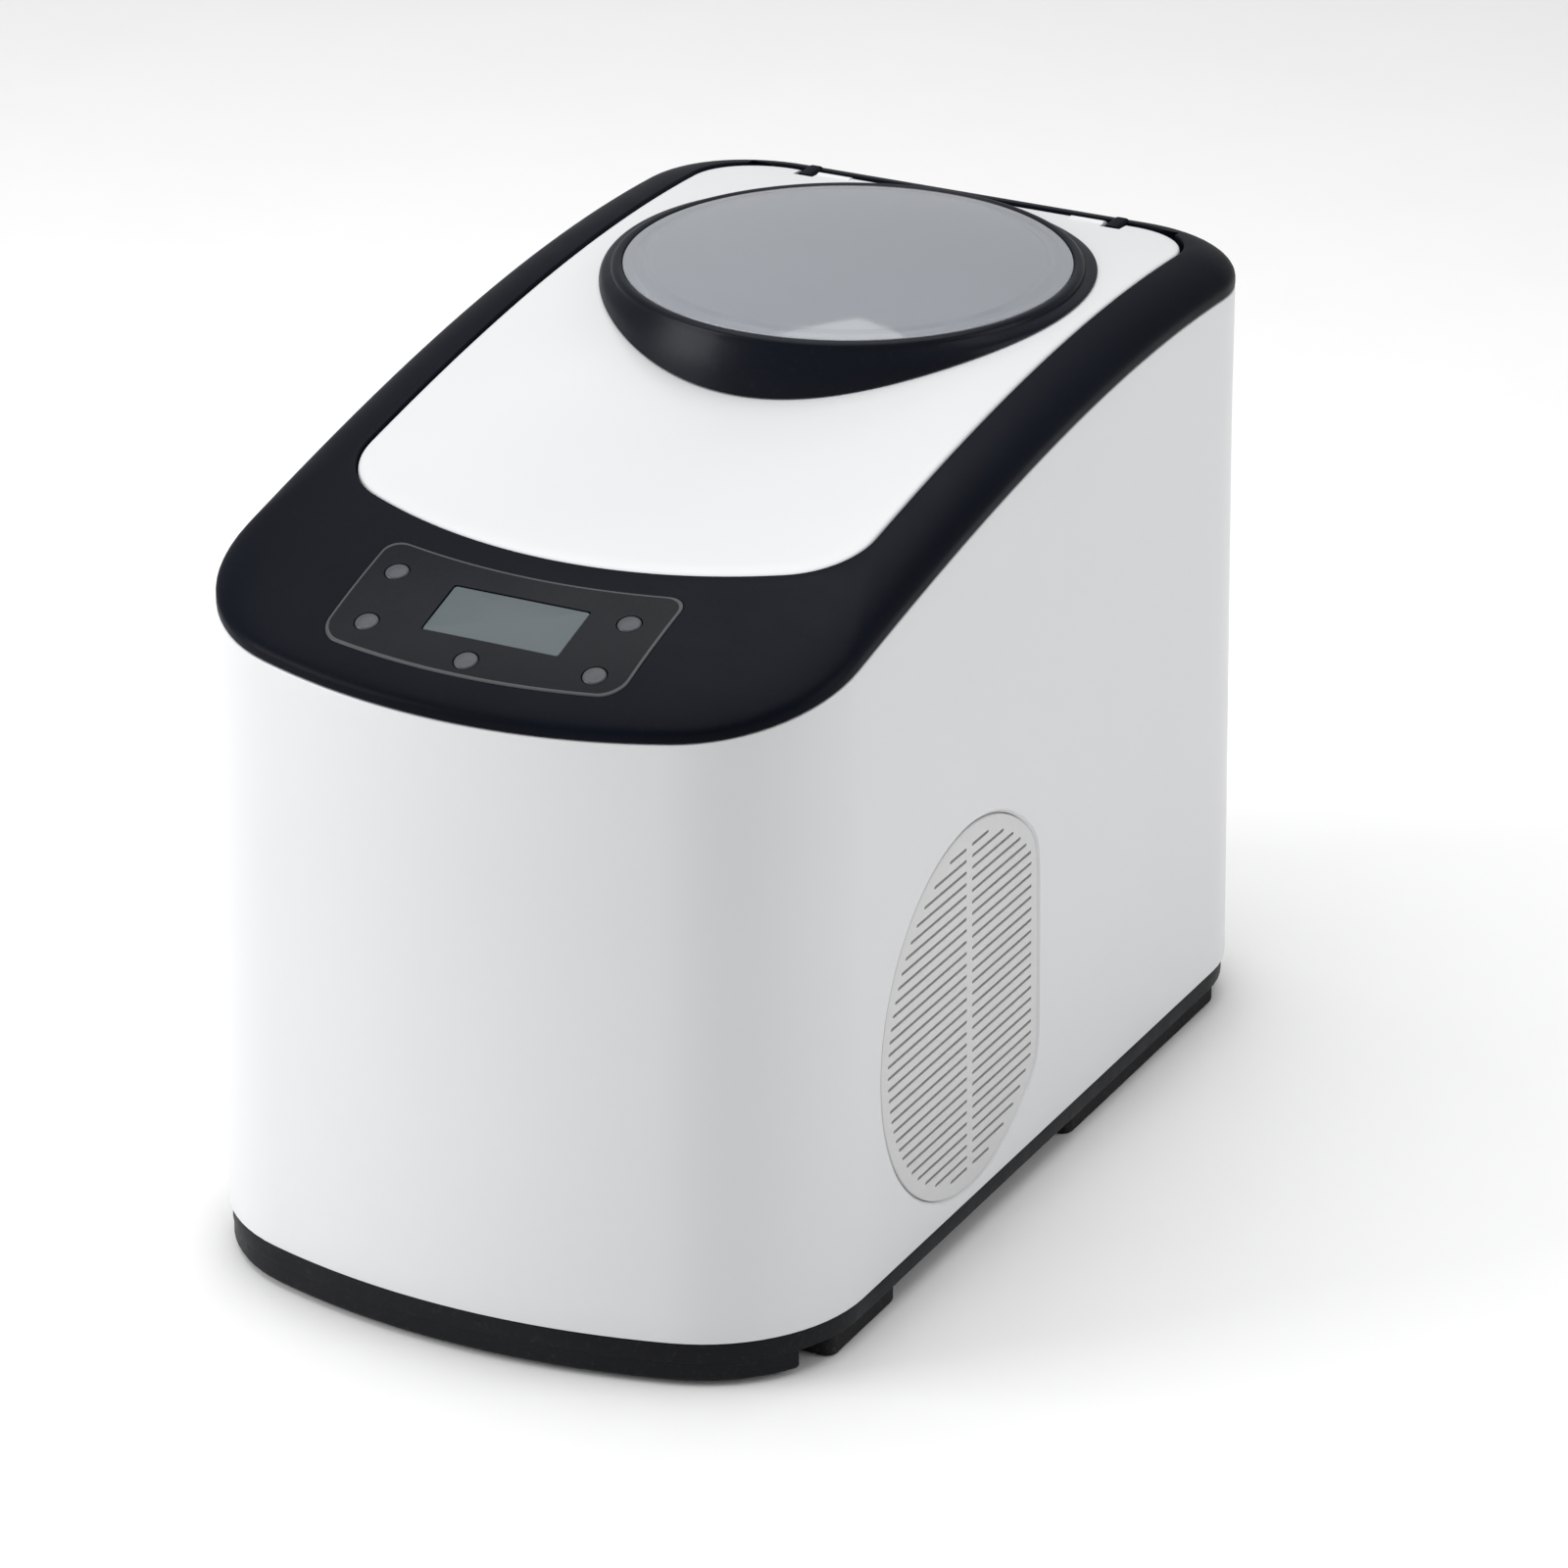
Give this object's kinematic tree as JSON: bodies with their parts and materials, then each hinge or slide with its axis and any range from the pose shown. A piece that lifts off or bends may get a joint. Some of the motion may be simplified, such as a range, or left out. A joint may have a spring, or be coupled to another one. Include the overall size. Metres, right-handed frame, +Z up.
{
  "type": "bread machine",
  "caption": "Upright bread machine with a sloped control panel, a hinged lid with a round window, an oven chamber, a lift-out bread pan and a belt-driven kneading blade.",
  "frame": {"origin": "on the table, under the middle of the body's plan", "axes": "+Z up, the front with the control panel faces -Y, +X is to the right seen from the front"},
  "size_m": [0.2556, 0.4336, 0.3252],
  "materials": {
    "white_plastic": "satin-gloss moulded plastic",
    "black_plastic": "glossy moulded plastic",
    "grey_plastic": "satin moulded plastic",
    "dark_plastic": "matte moulded plastic",
    "rubber": "matte rubber",
    "silicone": "matte silicone",
    "window_glass": "clear",
    "screen_glass": "glossy display cover",
    "steel": "brushed",
    "aluminium": "satin",
    "coated_pan": "dark non-stick coating",
    "copper": "enamelled copper wire",
    "circuit_board": "solder mask"
  },
  "bodies": {
    "root": {"base_tray": "black_plastic", "foot_front_left": "rubber", "foot_front_right": "rubber", "foot_rear_left": "rubber", "foot_rear_right": "rubber", "base_screw_1": "steel", "base_screw_2": "steel", "base_screw_3": "steel", "base_screw_4": "steel", "housing": "white_plastic", "grille_left": "grey_plastic", "grille_right": "grey_plastic", "top_collar": "black_plastic", "inner_deck": "dark_plastic", "panel_fascia": "black_plastic", "lcd_lens": "screen_glass", "lcd_module": "dark_plastic", "control_board": "circuit_board", "power_board": "circuit_board", "motor_capacitor": "white_plastic", "oven_chamber": "steel", "heating_element": "steel", "heater_clip_left": "steel", "heater_clip_right": "steel", "temperature_sensor": "steel", "bearing_housing": "aluminium", "pan_mount": "aluminium", "motor_bracket": "steel", "motor_stator": "steel", "motor_winding_top": "copper", "motor_winding_bottom": "copper", "motor_top_bell": "aluminium", "motor_bottom_bell": "aluminium", "drive_belt": "rubber", "mains_inlet": "dark_plastic", "hinge_pin_left": "steel", "hinge_pin_right": "steel"},
    "lid": {"lid_shell": "white_plastic", "window_ring": "black_plastic", "window_glass": "window_glass", "lid_liner": "aluminium", "inner_glass": "window_glass", "lid_gasket": "silicone"},
    "kneading_drive": {"drive_spindle": "steel", "large_pulley": "dark_plastic", "drive_dog": "steel", "pan_coupling": "steel", "pan_shaft": "steel", "kneading_blade": "coated_pan"},
    "motor_rotor": {"motor_rotor": "steel", "motor_pulley": "aluminium", "motor_fan": "dark_plastic"},
    "pan": {"bread_pan": "coated_pan", "pan_collar": "aluminium"},
    "handle": {"pan_handle": "steel"},
    "button_menu": {"button_menu": "grey_plastic"},
    "button_crust": {"button_crust": "grey_plastic"},
    "button_timer_up": {"button_timer_up": "grey_plastic"},
    "button_timer_down": {"button_timer_down": "grey_plastic"},
    "button_start_stop": {"button_start_stop": "grey_plastic"}
  },
  "joints": [
    {"name": "lid_hinge", "type": "hinge", "parent": "root", "child": "lid", "pos_m": [0, 0.1925, 0.3086], "axis": [-1, 0, 0], "range_deg": [0, 95]},
    {"name": "motor_spin", "type": "hinge", "parent": "root", "child": "motor_rotor", "pos_m": [0, -0.06, 0.077], "axis": [0, 0, 1], "continuous": true},
    {"name": "knead_spin", "type": "hinge", "parent": "root", "child": "kneading_drive", "pos_m": [0, 0.09, 0.056], "axis": [0, 0, 1], "continuous": true},
    {"name": "pan_twist", "type": "hinge", "parent": "root", "child": "pan", "pos_m": [0, 0.09, 0.066], "axis": [0, 0, 1], "range_deg": [0, 20]},
    {"name": "handle_swing", "type": "hinge", "parent": "pan", "child": "handle", "pos_m": [0, 0.09, 0.1935], "axis": [-1, 0, 0], "range_deg": [0, 180]},
    {"name": "button_menu_press", "type": "slide", "parent": "root", "child": "button_menu", "axis": [0.011, 0.2692, -0.963], "range_m": [0, 0.001], "stiffness_N_per_m": 300, "springref_m": -0.0005},
    {"name": "button_crust_press", "type": "slide", "parent": "root", "child": "button_crust", "axis": [0.0225, 0.3392, -0.9405], "range_m": [0, 0.001], "stiffness_N_per_m": 300, "springref_m": -0.0005},
    {"name": "button_timer_up_press", "type": "slide", "parent": "root", "child": "button_timer_up", "axis": [-0.0103, 0.2732, -0.9619], "range_m": [0, 0.001], "stiffness_N_per_m": 300, "springref_m": -0.0005},
    {"name": "button_timer_down_press", "type": "slide", "parent": "root", "child": "button_timer_down", "axis": [-0.0235, 0.352, -0.9357], "range_m": [0, 0.001], "stiffness_N_per_m": 300, "springref_m": -0.0005},
    {"name": "button_start_stop_press", "type": "slide", "parent": "root", "child": "button_start_stop", "axis": [0.0014, 0.3614, -0.9324], "range_m": [0, 0.001], "stiffness_N_per_m": 300, "springref_m": -0.0005}
  ],
  "couplings": [
    {"joint": "knead_spin", "follows": "motor_spin", "ratio": 0.2}
  ]
}
